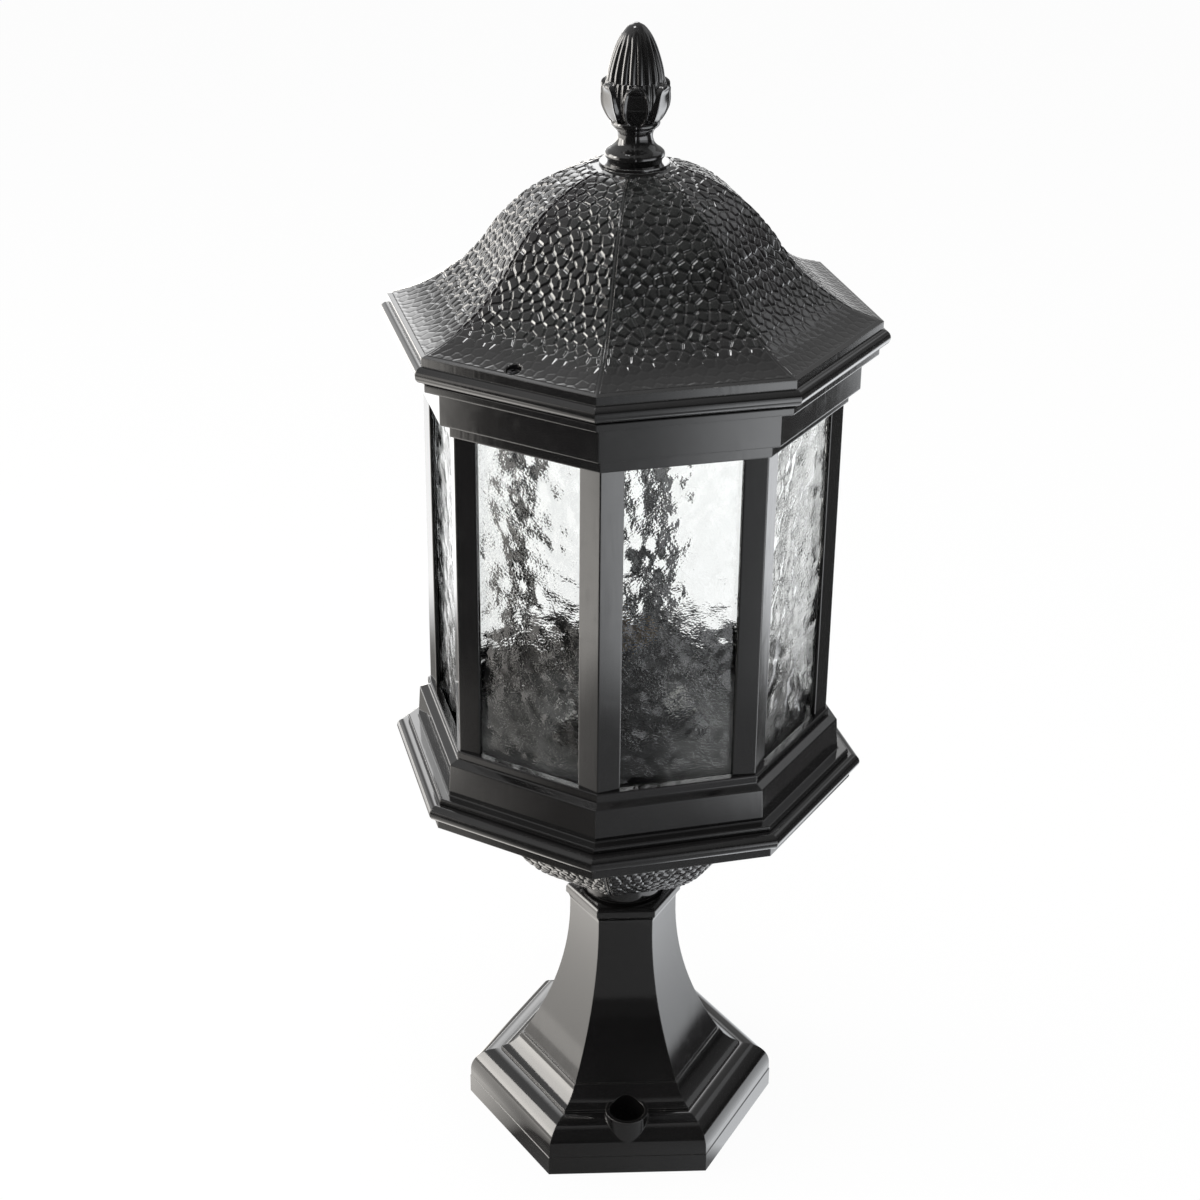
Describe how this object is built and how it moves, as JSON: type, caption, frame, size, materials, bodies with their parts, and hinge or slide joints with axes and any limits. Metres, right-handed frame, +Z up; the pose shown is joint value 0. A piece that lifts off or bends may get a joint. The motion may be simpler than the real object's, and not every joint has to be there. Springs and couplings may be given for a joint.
{
  "type": "pillar light",
  "caption": "Octagonal glazed pillar lantern with a hammered ogee roof, leaf-and-acorn finial and hammered bowl, on a flared hexagonal pedestal; takes a screw-cap lamp.",
  "frame": {"origin": "centre of the pedestal's foot, on the surface it stands on", "axes": "+Z up along the stem; -Y is the front, towards the pedestal face that carries a fixing boss"},
  "size_m": [0.2104, 0.2104, 0.52],
  "materials": {
    "black_enamel": "gloss black enamel on cast aluminium",
    "water_glass": "clear rippled water glass",
    "plated_steel": "zinc plated steel",
    "black_screw": "black oxide steel",
    "spring_steel": "bright spring wire",
    "brass": "plain brass",
    "black_phenolic": "moulded black phenolic",
    "black_plate": "satin black paint on steel sheet",
    "block_plastic": "moulded, matt",
    "rubber": "matt black",
    "live_insulation": "brown insulation",
    "neutral_insulation": "blue insulation",
    "earth_insulation": "green and yellow insulation"
  },
  "bodies": {
    "pedestal": {"pedestal": "black_enamel", "neck_gasket": "rubber", "stem_tube": "plated_steel", "stem_lower_washer": "plated_steel", "stem_upper_washer": "plated_steel", "stem_lower_nut": "plated_steel", "stem_upper_nut": "plated_steel"},
    "lantern": {"neck_collar": "black_enamel", "bowl_tray": "black_enamel", "sill_frame": "black_enamel", "corner_post_1": "black_enamel", "corner_post_2": "black_enamel", "corner_post_3": "black_enamel", "corner_post_4": "black_enamel", "corner_post_5": "black_enamel", "corner_post_6": "black_enamel", "corner_post_7": "black_enamel", "corner_post_8": "black_enamel", "cornice_frame": "black_enamel", "glass_pane_1": "water_glass", "glass_pane_2": "water_glass", "glass_pane_3": "water_glass", "glass_pane_4": "water_glass", "glass_pane_5": "water_glass", "glass_pane_6": "water_glass", "glass_pane_7": "water_glass", "glass_pane_8": "water_glass", "tray_screws": "plated_steel", "post_screws_lower": "plated_steel", "post_screws_upper": "plated_steel", "gear_plate_screws": "plated_steel", "terminal_block_screws": "plated_steel", "earth_screw": "plated_steel", "lampholder_screws": "plated_steel", "contact_spring": "spring_steel", "screw_shell": "brass", "holder_terminals": "brass", "terminal_screws": "brass", "earth_terminal": "brass", "lampholder_body": "black_phenolic", "gear_plate": "black_plate", "terminal_block": "block_plastic", "roof_gasket": "rubber", "live_lead": "live_insulation", "neutral_lead": "neutral_insulation", "earth_lead": "earth_insulation"},
    "roof": {"roof_shell": "black_enamel", "roof_screws": "black_screw", "finial": "black_enamel", "finial_washer": "plated_steel", "finial_screw": "plated_steel"},
    "contact": {"centre_contact": "brass"}
  },
  "joints": [
    {"name": "head_turn", "type": "hinge", "parent": "pedestal", "child": "lantern", "pos_m": [0, 0, 0.12], "axis": [0, 0, 1], "range_deg": [-180, 180]},
    {"name": "roof_lift", "type": "slide", "parent": "lantern", "child": "roof", "axis": [0, 0, 1], "range_m": [0, 0.2]},
    {"name": "contact_press", "type": "slide", "parent": "lantern", "child": "contact", "axis": [0, 0, 1], "range_m": [-0.0025, 0], "stiffness_N_per_m": 400, "springref_m": 0.002, "deforming": ["contact_spring"]}
  ]
}
